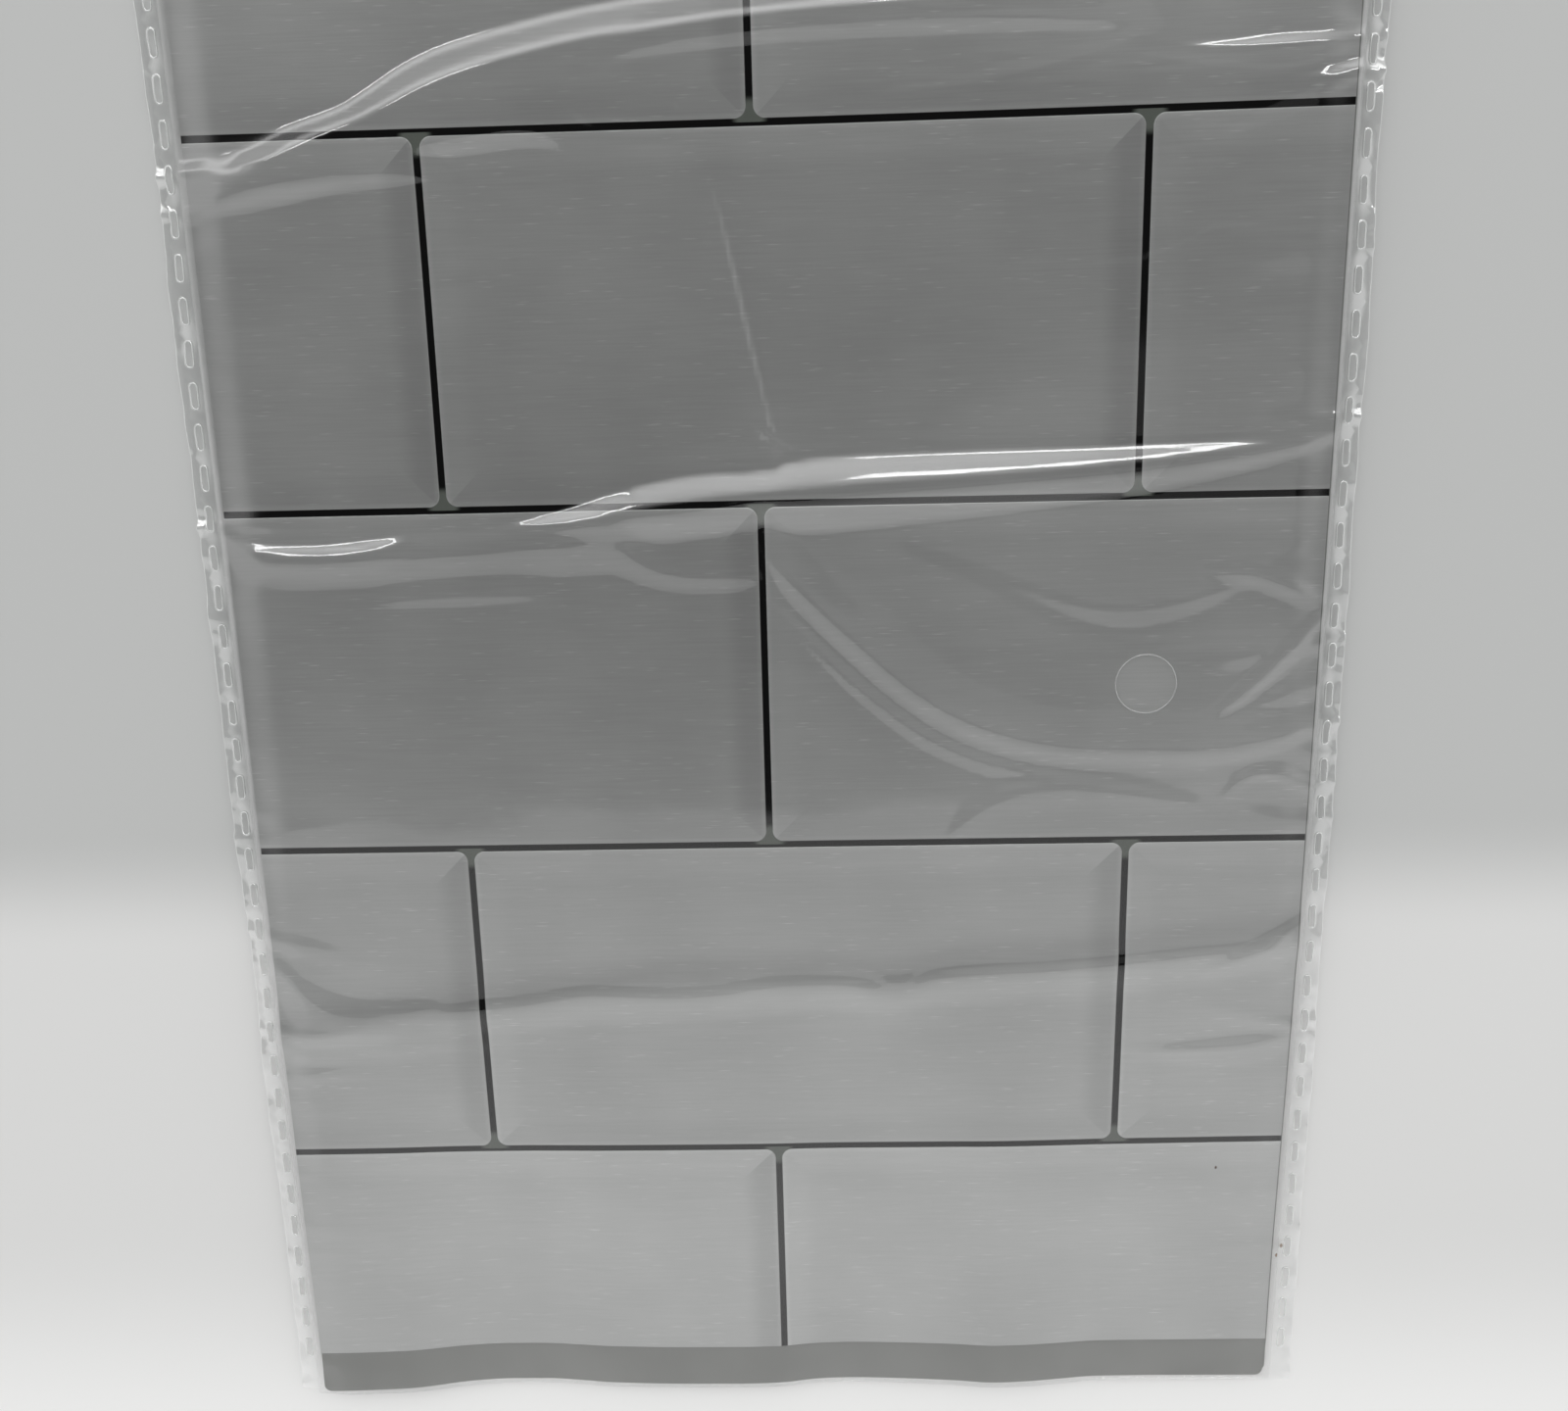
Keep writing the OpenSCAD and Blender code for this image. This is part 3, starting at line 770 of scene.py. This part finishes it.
def clear_film(bag, name, haze, gloss, tint=0.975, spots=()):
    """Cast polypropylene film: clear, glossy and faintly milky.

    Both faces of the thin film reflect about 4% each, and more at a glance.
    """
    material, tree = new_material(name)
    glance = add(tree, "ShaderNodeLayerWeight", {"Blend": 0.5})
    steep = add(tree, "ShaderNodeMath", {0: glance.outputs["Facing"], 1: 4.0},
                operation="POWER")
    mirror = add(tree, "ShaderNodeMapRange", {0: steep.outputs[0], 3: gloss, 4: 0.9})
    through_it = add(tree, "ShaderNodeBsdfTransparent", {"Color": (tint, tint, tint, 1)})
    if spots:
        place = add(tree, "ShaderNodeTexCoord").outputs["Object"]
        tone = specks(tree, place, spots, bag.speck_colour, (*bag.haze_colour, 1))
        haze = specks(tree, place, spots, (1, 1, 1), (haze, haze, haze, 1))
        milk = add(tree, "ShaderNodeBsdfDiffuse", {"Color": tone})
    else:
        milk = add(tree, "ShaderNodeBsdfDiffuse", {"Color": (*bag.haze_colour, 1)})
    body = add(tree, "ShaderNodeMixShader",
               {0: haze, 1: through_it.outputs[0], 2: milk.outputs[0]})
    shine = add(tree, "ShaderNodeBsdfGlossy", {"Color": (1, 1, 1, 1), "Roughness": 0.06})
    shader = add(tree, "ShaderNodeMixShader",
                 {0: mirror.outputs[0], 1: body.outputs[0], 2: shine.outputs[0]})
    finish_material(tree, shader.outputs[0])
    return material


def studio_floor(stage):
    """Matt board whose colour holds painted light: lighter before the foot of the pack, with painted
    shade making it a little darker away from the foot.
    """
    material, tree = new_material("matt_board_with_painted_light")
    place = add(tree, "ShaderNodeTexCoord").outputs["Object"]
    split = add(tree, "ShaderNodeSeparateXYZ", {0: place})
    # Painted shade: a step to the darker far colour beside the upper courses
    fade = add(tree, "ShaderNodeMapRange",
               {0: split.outputs["Y"], 1: -0.128, 2: -0.098},
               interpolation_type="SMOOTHSTEP")
    foot = add(tree, "ShaderNodeMapRange",
               {0: split.outputs["Y"], 1: -0.27, 2: -0.20},
               interpolation_type="SMOOTHSTEP")
    near = add(tree, "ShaderNodeMix",
               {0: foot.outputs[0], 6: (*stage.foot_floor_painted_light, 1), 7: (*stage.near_floor, 1)},
               data_type="RGBA")
    # Painted pool of light round the foot of the pack, with painted shade darkening the floor away
    # from it
    away = add(tree, "ShaderNodeVectorMath", {0: place, 1: (0, -0.22, 0)},
               operation="DISTANCE")
    painted_light_pool = add(tree, "ShaderNodeMapRange",
               {0: away.outputs["Value"], 1: 0.24, 2: 0.75, 3: 0.0, 4: 1.0},
               interpolation_type="SMOOTHSTEP")
    outside = add(tree, "ShaderNodeMath", {0: fade.outputs[0], 1: painted_light_pool.outputs[0]},
                  operation="MAXIMUM")
    colour = add(tree, "ShaderNodeMix",
                 {0: outside.outputs[0], 6: near.outputs[2], 7: (*stage.far_floor_painted_shade, 1)},
                 data_type="RGBA")
    shader = add(tree, "ShaderNodeBsdfPrincipled",
                 {"Base Color": colour.outputs[2], "Roughness": 0.8,
                  "Specular IOR Level": 0.2})
    finish_material(tree, shader.outputs[0])
    return material


# ---------------------------------------------------------------- pieces
def place_piece(obj, slot, *nodes):
    """Ride a piece on the pack and hide the CAD parts of the nodes that it stands for. The slot is not
    used.
    """
    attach(obj, "root")
    if nodes:
        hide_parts(*nodes)


class PACK_OT_front_sheet(bpy.types.Operator):
    """Build the front sheet with its tile face"""
    bl_idname = "pack.front_sheet"
    bl_label = "Front Sheet"

    def execute(self, context):
        sheet = context.scene.pack_sheets
        joints_x = [sheet.joint_x + k * sheet.tile_pitch + s
                    for k in (-1, 0, 1) for s in (0, sheet.bond_shift)]
        joints_y = [FOOT + sheet.foot_course + k * sheet.course_pitch for k in range(6)]
        near = [side * (sheet.grout_w / 2 + off * MM) for side in (-1, 1)
                for off in (0, 0.35, 1.2)]
        xs = with_lines(spread(FRONT_LOW[0], FRONT_HIGH[0], 2.6 * MM),
                        [j + n for j in joints_x for n in near if abs(j + n) < SHEET_HALF])
        ys = with_lines(spread(FRONT_LOW[1], FRONT_HIGH[1], 2.4 * MM),
                        [j + n for j in joints_y for n in near if j + n < FRONT_HIGH[1]])
        x, y = np.meshgrid(xs, ys)
        base = FRONT_LOW[2] + lift(x, y)
        obj = slab("front_sheet_face", x, y, base, base + SHEET_T, silver_print(sheet))
        place_piece(obj, "tile_face", "front_sheet")
        return {"FINISHED"}


class PACK_OT_lower_sheets(bpy.types.Operator):
    """Build the two sheets behind the front one"""
    bl_idname = "pack.lower_sheets"
    bl_label = "Lower Sheets"

    def execute(self, context):
        sheet = context.scene.pack_sheets
        backing = grey_backing(sheet)
        corner = [sheet.clip_r * k / 4 for k in range(1, 5)]
        for name, node, slot, low, high in (
                ("middle_sheet_back", "middle_sheet", "sheet_back", MIDDLE_LOW, MIDDLE_HIGH),
                ("back_sheet_back", "back_sheet", "hidden_face", BACK_LOW, BACK_HIGH)):
            xs = with_lines(spread(low[0], high[0], 3 * MM),
                            [low[0] + c for c in corner] + [high[0] - c for c in corner])
            ys = with_lines(spread(low[1], high[1], 3 * MM), [low[1] + c for c in corner])
            x, y = np.meshgrid(xs, ys)
            x, y = clip_corners(x, y, low, high, sheet.clip_r)
            base = low[2] + lift(x, y)
            obj = slab(name, x, y, base, base + high[2] - low[2], backing)
            place_piece(obj, slot, node)
        return {"FINISHED"}


class PACK_OT_films(bpy.types.Operator):
    """Build the loose front film, with its vent hole, and the back film"""
    bl_idname = "pack.films"
    bl_label = "Films"

    def execute(self, context):
        bag = context.scene.pack_bag
        half = BAG_HIGH[0] - bag.seam_w
        low_y = BAG_LOW[1] + bag.foot_fold
        high_y = BAG_HIGH[1] - bag.seam_w
        centre = (bag.vent_x, FOOT + bag.vent_y)
        radius = bag.vent_r
        edges = [bag.side_run * k for k in (0.12, 0.3, 0.55, 1.0)]
        ends = [bag.foot_run * k for k in (0.12, 0.3, 0.55, 1.0)]
        vent_lines = [radius * k for k in (-1, -0.75, -0.5, -0.25, 0, 0.25, 0.5, 0.75, 1)]
        xs = with_lines(spread(-half, half, 1.2 * MM),
                        [s * (half - e) for e in edges for s in (-1, 1)]
                        + [centre[0] + v for v in vent_lines])
        ys = with_lines(spread(low_y, high_y, 1.2 * MM),
                        [low_y + e for e in ends] + [centre[1] + v for v in vent_lines])
        x, y = np.meshgrid(xs, ys)

        # Bend the square of grid lines round the vent into a circle
        dx, dy = x - centre[0], y - centre[1]
        reach = np.maximum(np.abs(dx), np.abs(dy))
        size = np.maximum(np.hypot(dx, dy), 1e-9)
        blend = 1 - smooth((reach - radius) / radius)
        scale = 1 + blend * (reach / size - 1)
        x, y = centre[0] + dx * scale, centre[1] + dy * scale
        apart = rise(x, y, bag)
        middle = hold(x, y)
        height = middle + apart * (front_height(x, y, bag.seed) - middle)
        columns = len(xs)
        faces = grid_faces(columns, len(ys))
        centre_reach = reach.ravel()[faces].max(axis=1)
        faces = faces[centre_reach > radius * 1.001]
        points = np.stack([x, y, height], axis=-1).reshape(-1, 3)
        film = clear_film(bag, "cast_film", 0.002, 0.085, spots=FILM_SPECKS)
        obj = new_object("bag_front_film", points, faces, film)
        obj.data.validate()
        place_piece(obj, "clear_film", "clear_bag")

        # The punch leaves a fine raised rim round the vent hole
        turns = np.linspace(0, math.tau, 96, endpoint=False)
        cross = np.linspace(0, math.tau, 8, endpoint=False)
        turn, around = np.meshgrid(turns, cross, indexing="ij")
        reach = radius + 0.11 * MM * np.cos(around)
        x, y = centre[0] + reach * np.cos(turn), centre[1] + reach * np.sin(turn)
        flat = np.stack([centre[0] + radius * np.cos(turn), centre[1] + radius * np.sin(turn)])
        height = front_height(*flat, bag.seed) + 0.11 * MM * np.sin(around)
        faces = [(8 * j + i, 8 * ((j + 1) % 96) + i, 8 * ((j + 1) % 96) + (i + 1) % 8,
                  8 * j + (i + 1) % 8) for j in range(96) for i in range(8)]
        points = np.stack([x, y, height], axis=-1).reshape(-1, 3)
        rim = clear_film(bag, "punched_film_rim", 0.10, 0.09, tint=0.96)
        place_piece(new_object("vent_rim", points, faces, rim), "clear_film")

        xs = with_lines(spread(-half, half, 3.5 * MM), [s * (half - e) for e in edges
                                                        for s in (-1, 1)])
        ys = with_lines(spread(low_y, high_y, 3.5 * MM), [low_y + e for e in ends])
        x, y = np.meshgrid(xs, ys)
        apart = rise(x, y, bag)
        middle = hold(x, y)
        height = middle + apart * (lift(x, y) - middle)
        faces = grid_faces(len(xs), len(ys))[:, ::-1]
        points = np.stack([x, y, height], axis=-1).reshape(-1, 3)
        film = clear_film(bag, "cast_back_film", 0.002, 0.085)
        obj = new_object("bag_back_film", points, faces, film)
        place_piece(obj, "clear_film")
        return {"FINISHED"}


def ring_points(width_out, width_in, half_length, radius, straight, height):
    """Points round a slot: a stadium if it has a radius, or else the cell's rectangle."""
    points = []
    tip = straight + radius * math.sin(math.radians(40))
    for k in range(10):
        y = (k / 5 - 1) * (tip if radius else half_length)
        past = max(abs(y) - straight, 0)
        x = math.sqrt(max(radius ** 2 - past ** 2, 0)) if radius else width_in
        points.append((x, y, height))
    for k in range(6):
        angle = math.radians(40 + 100 * k / 6)
        if radius:
            points.append((radius * math.cos(angle), straight + radius * math.sin(angle), height))
        else:
            points.append((width_in + (width_out - width_in) * k / 6, half_length, height))
    if radius:
        return points + [(-x, -y, z) for x, y, z in points]
    other = [(width_out, -y, z) for x, y, z in points[:10]]
    low = [(width_out + (width_in - width_out) * k / 6, -half_length, height) for k in range(6)]
    return points + other + low


def slot_cell(bag):
    """One length of weld, with a slot whose edge is raised and a bead down its outer side.

    The cell lies about its slot, with the pouch on the side of positive x.
    """
    straight = (bag.slot_l - bag.slot_w) / 2
    rim = bag.slot_w / 2
    bead = 0.5 * MM
    half = bag.slot_pitch / 2
    outer, inner = -bag.slot_inset, bag.seam_w - bag.slot_inset
    rings = [ring_points(0, 0, 0, rim + out, straight, up)
             for out, up in ((0, 0.02 * MM), (0.05 * MM, 0.05 * MM), (0.12 * MM, 0.04 * MM),
                             (0.2 * MM, -0.01 * MM), (0.3 * MM, 0))]
    rings.append(ring_points(outer + bead, inner, half, 0, 0, 0))
    points = [p for ring in rings for p in ring]
    count = len(rings[0])
    faces = [(a * count + k, (a + 1) * count + k, (a + 1) * count + (k + 1) % count,
              a * count + (k + 1) % count)
             for a in range(len(rings) - 1) for k in range(count)]
    start = len(points)
    columns = ((outer + bead, 0), (outer + 0.6 * bead, 0.07 * MM), (outer + 0.25 * bead, 0.07 * MM),
               (outer, 0))
    for k in range(11):
        points += [(x, (k / 5 - 1) * half, z) for x, z in columns]
    for k in range(10):
        for j in range(3):
            a = start + 4 * k + j
            faces.append((a + 1, a, a + 4, a + 5))
    return points, faces


def rim_cell(bag):
    """The melted edge of one slot, as a thin closed ring."""
    straight = (bag.slot_l - bag.slot_w) / 2
    around = [(math.cos(math.tau * k / 6), math.sin(math.tau * k / 6)) for k in range(6)]
    rings = [ring_points(0, 0, 0, bag.slot_w / 2 - (0.05 - 0.12 * c) * MM, straight,
                         (0.06 + 0.1 * s) * MM) for c, s in around]
    count = len(rings[0])
    points = [rings[k][j] for j in range(count) for k in range(6)]
    faces = [(6 * j + k, 6 * ((j + 1) % count) + k, 6 * ((j + 1) % count) + (k + 1) % 6,
              6 * j + (k + 1) % 6) for j in range(count) for k in range(6)]
    return points, faces


def row_of_instances(cell, count, start, step, material, name):
    """Set copies of a cell in a row with Geometry Nodes, and return the plain mesh."""
    group = bpy.data.node_groups.new("punched_weld_row", "GeometryNodeTree")
    sockets = {}
    for label, kind in (("Cell", "NodeSocketGeometry"), ("Count", "NodeSocketInt"),
                        ("Start", "NodeSocketVector"), ("Step", "NodeSocketVector"),
                        ("Material", "NodeSocketMaterial")):
        sockets[label] = group.interface.new_socket(label, in_out="INPUT", socket_type=kind)
    group.interface.new_socket("Row", in_out="OUTPUT", socket_type="NodeSocketGeometry")
    given = add(group, "NodeGroupInput")
    line = add(group, "GeometryNodeMeshLine",
               {"Count": given.outputs["Count"], "Start Location": given.outputs["Start"],
                "Offset": given.outputs["Step"]}, mode="OFFSET")
    copies = add(group, "GeometryNodeInstanceOnPoints",
                 {"Points": line.outputs["Mesh"], "Instance": given.outputs["Cell"]})
    real = add(group, "GeometryNodeRealizeInstances", {"Geometry": copies.outputs[0]})
    coated = add(group, "GeometryNodeSetMaterial",
                 {"Geometry": real.outputs[0], "Material": given.outputs["Material"]})
    add(group, "NodeGroupOutput", {"Row": coated.outputs[0]})

    modifier = cell.modifiers.new("row", "NODES")
    modifier.node_group = group
    modifier[sockets["Count"].identifier] = count
    modifier[sockets["Start"].identifier] = start
    modifier[sockets["Step"].identifier] = step
    modifier[sockets["Material"].identifier] = material
    graph = bpy.context.evaluated_depsgraph_get()
    mesh = bpy.data.meshes.new_from_object(cell.evaluated_get(graph), depsgraph=graph)
    cell.modifiers.remove(modifier)
    bpy.data.objects.remove(cell)
    mesh.name = name
    return mesh


def weld_height(x, y, seed):
    """Height of the welded border, which is joined to both films at the pouch's edge."""
    half = BAG_HIGH[0] - WELD_W
    inner_x, inner_y = np.clip(x, -half, half), np.clip(y, BAG_LOW[1] + 0.6 * MM, BAG_HIGH[1] - WELD_W)
    out = np.maximum(np.abs(x) - half, np.abs(y - inner_y))
    free = smooth(out / WELD_W)
    crimp = 0.35 * ripples(x * 0.4, y, seed + 5, 17 * MM, count=12)
    crimp += 0.10 * ripples(x, y, seed + 6, 5 * MM, count=14)
    for side, place, height, _ in GATHERS:
        near = bump(y / MM, place, 2.6) * (np.sign(x) == side)
        crimp += 0.9 * height * near * np.cos((y / MM - place) * 1.1)
    ends = smooth((np.abs(y) - 0.238) / (9 * MM))
    crimp += 0.5 * ends * ripples(x, y, seed + 7, 4.5 * MM, count=12)
    fall = -0.25 * hold(inner_x, inner_y) / MM
    return np.clip(hold(inner_x, inner_y) + free * (crimp + fall) * MM, 0.02 * MM, 7.5 * MM)


class PACK_OT_welds(bpy.types.Operator):
    """Build the punched side welds, the top weld and the foot fold"""
    bl_idname = "pack.welds"
    bl_label = "Welds"

    def execute(self, context):
        bag = context.scene.pack_bag
        weld = clear_film(bag, "heat_sealed_film", 0.12, 0.20, tint=0.985, spots=FILM_SPECKS)
        rim = clear_film(bag, "melted_film_edge", 0.6, 0.25, tint=0.97)
        count = int((BAG_HIGH[1] - BAG_LOW[1] - 2 * bag.slot_l) / bag.slot_pitch)
        span = (count - 1) * bag.slot_pitch
        for side, name in ((-1, "weld_left"), (1, "weld_right")):
            points, faces = slot_cell(bag)
            if side > 0:
                points = [(-x, y, z) for x, y, z in points]
                faces = [face[::-1] for face in faces]
            cell = new_object("weld_cell", points, faces, weld)
            start = (side * (BAG_HIGH[0] - bag.slot_inset), -span / 2, 0)
            mesh = row_of_instances(cell, count, start, (0, bag.slot_pitch, 0), weld, name)
            obj = bpy.data.objects.new(name, mesh)
            context.scene.collection.objects.link(obj)

            # Plain lengths of weld close the row at both ends
            work = bmesh.new()
            work.from_mesh(mesh)
            inner = side * (BAG_HIGH[0] - bag.seam_w)
            outer = side * BAG_HIGH[0]
            edge = span / 2 + bag.slot_pitch / 2
            for low, high in ((BAG_LOW[1], -edge), (edge, BAG_HIGH[1])):
                xs = np.linspace(min(inner, outer), max(inner, outer), 7)
                ys = np.linspace(low, high, 10)
                made = [[work.verts.new((x, y, 0)) for x in xs] for y in ys]
                for j in range(9):
                    for i in range(6):
                        work.faces.new((made[j][i], made[j][i + 1], made[j + 1][i + 1],
                                        made[j + 1][i]))
            bmesh.ops.remove_doubles(work, verts=work.verts, dist=0.005 * MM)
            work.to_mesh(mesh)
            work.free()
            place = np.empty(len(mesh.vertices) * 3)
            mesh.vertices.foreach_get("co", place)
            place = place.reshape(-1, 3)
            x, y = place[:, 0], place[:, 1]
            place[:, 2] += weld_height(x, y, bag.seed)
            out = np.clip((np.abs(x) - abs(inner)) / bag.seam_w, 0, 1)
            place[:, 0] += side * out * 0.35 * MM * ripples(0 * x, y, bag.seed + 8, 60 * MM, count=5)
            mesh.vertices.foreach_set("co", place.ravel())
            mesh.polygons.foreach_set("use_smooth", [True] * len(mesh.polygons))
            mesh.update()
            place_piece(obj, "clear_film")

            points, faces = rim_cell(bag)
            cell = new_object("rim_cell", points, faces, rim)
            mesh = row_of_instances(cell, count, start, (0, bag.slot_pitch, 0), rim,
                                    name.replace("weld", "slot_rims"))
            obj = bpy.data.objects.new(mesh.name, mesh)
            context.scene.collection.objects.link(obj)
            place = np.empty(len(mesh.vertices) * 3)
            mesh.vertices.foreach_get("co", place)
            place = place.reshape(-1, 3)
            x, y = place[:, 0], place[:, 1]
            place[:, 2] += weld_height(x, y, bag.seed)
            out = np.clip((np.abs(x) - abs(inner)) / bag.seam_w, 0, 1)
            place[:, 0] += side * out * 0.35 * MM * ripples(0 * x, y, bag.seed + 8, 60 * MM, count=5)
            mesh.vertices.foreach_set("co", place.ravel())
            mesh.polygons.foreach_set("use_smooth", [True] * len(mesh.polygons))
            mesh.update()
            place_piece(obj, "clear_film")

        half = BAG_HIGH[0] - bag.seam_w
        for name, low, high, step in (
                ("weld_top", BAG_HIGH[1] - bag.seam_w, BAG_HIGH[1], 0.9 * MM),
                ("foot_fold", BAG_LOW[1], BAG_LOW[1] + bag.foot_fold, 0.3 * MM)):
            x, y = np.meshgrid(spread(-half, half, 1.2 * MM), spread(low, high, step))
            height = weld_height(x, y, bag.seed)
            points = np.stack([x, y, height], axis=-1).reshape(-1, 3)
            obj = new_object(name, points, grid_faces(x.shape[1], x.shape[0]), weld)
            place_piece(obj, "clear_film")
        return {"FINISHED"}


STEPS = ("stage", "front_sheet", "lower_sheets", "films", "welds")


def main():
    """Register the add-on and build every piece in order."""
    register()
    scene = bpy.context.scene
    scene.view_settings.view_transform = "Standard"
    for step in STEPS:
        getattr(bpy.ops.pack, step)()


def panel(name, place, size_x, size_y, radiance):
    """An even area light of a stated brightness, turned to the pack."""
    light = bpy.data.lights.new(name, "AREA")
    light.shape = "RECTANGLE"
    light.size, light.size_y = size_x, size_y
    light.energy = radiance * math.pi * size_x * size_y
    holder = bpy.data.objects.new(name, light)
    holder.location = place
    holder.rotation_euler = (-Vector(place)).to_track_quat("-Z", "Y").to_euler()
    bpy.context.scene.collection.objects.link(holder)


def studio_world(scene, stage):
    """A studio that is dark overhead and bright at the sides and past the foot."""
    world = bpy.data.worlds.new("studio_world")
    scene.world = world
    world.use_nodes = True
    tree = world.node_tree
    tree.nodes.clear()
    way = add(tree, "ShaderNodeTexCoord").outputs["Generated"]
    split = add(tree, "ShaderNodeSeparateXYZ", {0: way})
    up = add(tree, "ShaderNodeMath", {0: split.outputs["Z"], 1: 0.01}, operation="MAXIMUM")
    sides = add(tree, "ShaderNodeMapRange",
                {0: up.outputs[0], 1: 0.68, 2: 0.925, 3: stage.side_light, 4: stage.top_light},
                interpolation_type="SMOOTHSTEP")
    toward = add(tree, "ShaderNodeMath", {0: split.outputs["Y"], 1: up.outputs[0]},
                 operation="DIVIDE")
    screen = add(tree, "ShaderNodeMapRange",
                 {0: toward.outputs[0], 1: -0.30, 2: -0.285, 3: 1.0, 4: 0.0})
    far = add(tree, "ShaderNodeMapRange",
              {0: toward.outputs[0], 1: -0.9, 2: -0.34, 3: stage.screen_light * 1.5,
               4: stage.screen_light * 0.8})
    lit = add(tree, "ShaderNodeMath", {0: screen.outputs[0], 1: far.outputs[0]},
              operation="MULTIPLY")
    behind = add(tree, "ShaderNodeMapRange",
                 {0: toward.outputs[0], 1: 0.34, 2: 1.0, 3: 0.0, 4: stage.back_light},
                 interpolation_type="SMOOTHSTEP")
    low = add(tree, "ShaderNodeMapRange",
              {0: up.outputs[0], 1: 0.35, 2: 0.65, 3: 0.0, 4: 1.0},
              interpolation_type="SMOOTHSTEP")
    back = add(tree, "ShaderNodeMath", {0: behind.outputs[0], 1: low.outputs[0]},
               operation="MULTIPLY")
    screens = add(tree, "ShaderNodeMath", {0: back.outputs[0], 1: lit.outputs[0]},
                  operation="MAXIMUM")
    across = add(tree, "ShaderNodeMath", {0: split.outputs["X"], 1: up.outputs[0]},
                 operation="DIVIDE")
    from_panel = [add(tree, "ShaderNodeMath", {0: value.outputs[0], 1: centre},
                      operation="SUBTRACT") for value, centre in ((across, 0.20), (toward, -0.08))]
    flat = add(tree, "ShaderNodeCombineXYZ", {0: from_panel[0].outputs[0],
                                              1: from_panel[1].outputs[0]})
    scaled = add(tree, "ShaderNodeVectorMath", {0: flat.outputs[0], 1: (1, 1.7, 1)},
                 operation="MULTIPLY")
    panel_reach = add(tree, "ShaderNodeVectorMath", {0: scaled.outputs[0]}, operation="LENGTH")
    panel_light = add(tree, "ShaderNodeMapRange",
                      {0: panel_reach.outputs["Value"], 1: 0.18, 2: 0.21,
                       3: stage.panel_light, 4: 0.0})
    overhead = add(tree, "ShaderNodeMath", {0: sides.outputs[0], 1: panel_light.outputs[0]})
    total = add(tree, "ShaderNodeMath", {0: overhead.outputs[0], 1: screens.outputs[0]},
                operation="MAXIMUM")
    sky = add(tree, "ShaderNodeBackground",
              {"Color": (1, 1, 1, 1), "Strength": total.outputs[0]})
    add(tree, "ShaderNodeOutputWorld", {"Surface": sky.outputs[0]})


class PACK_OT_stage(bpy.types.Operator):
    """Build the floor, the lights and the camera"""
    bl_idname = "pack.stage"
    bl_label = "Studio"

    def execute(self, context):
        scene = context.scene
        stage = scene.pack_stage
        size = 4.0
        corners = [(-size, -size, -DROP), (size, -size, -DROP), (size, size, -DROP),
                   (-size, size, -DROP)]
        floor = new_object("studio_floor", corners, [(0, 1, 2, 3)], studio_floor(stage))
        panel("lamp_right", (0.40, 0.90, 1.45), 0.9, 0.09, stage.lamp)
        panel("lamp_left", (-0.70, 0.85, 1.45), 0.4, 0.08, stage.lamp)
        studio_world(scene, stage)

        camera = bpy.data.cameras.new("camera")
        camera.sensor_fit = "HORIZONTAL"
        camera.sensor_width = 36
        camera.lens = 36 * stage.focal_share
        camera.clip_start = 0.01
        holder = bpy.data.objects.new("camera", camera)
        holder.location = stage.camera_place
        holder.rotation_euler = stage.camera_turn
        scene.collection.objects.link(holder)
        scene.camera = holder
        return {"FINISHED"}


class PACK_PT_panel(bpy.types.Panel):
    """Lists the steps that build the pack"""
    bl_idname = "PACK_PT_panel"
    bl_label = "Tile Pack"
    bl_space_type = "VIEW_3D"
    bl_region_type = "UI"
    bl_category = "Tile Pack"

    def draw(self, context):
        layout = self.layout
        for step in STEPS:
            layout.operator("pack." + step)


CLASSES = (SheetSettings, BagSettings, StageSettings, PACK_OT_front_sheet,
           PACK_OT_lower_sheets, PACK_OT_films, PACK_OT_welds, PACK_OT_stage, PACK_PT_panel)


def register():
    """Register the classes and hang the settings on the scene."""
    for cls in CLASSES:
        bpy.utils.register_class(cls)
    bpy.types.Scene.pack_sheets = PointerProperty(type=SheetSettings)
    bpy.types.Scene.pack_bag = PointerProperty(type=BagSettings)
    bpy.types.Scene.pack_stage = PointerProperty(type=StageSettings)


def unregister():
    """Take the settings and the classes away again."""
    del bpy.types.Scene.pack_stage
    del bpy.types.Scene.pack_bag
    del bpy.types.Scene.pack_sheets
    for cls in reversed(CLASSES):
        bpy.utils.unregister_class(cls)


if __name__ == "__main__":
    main()
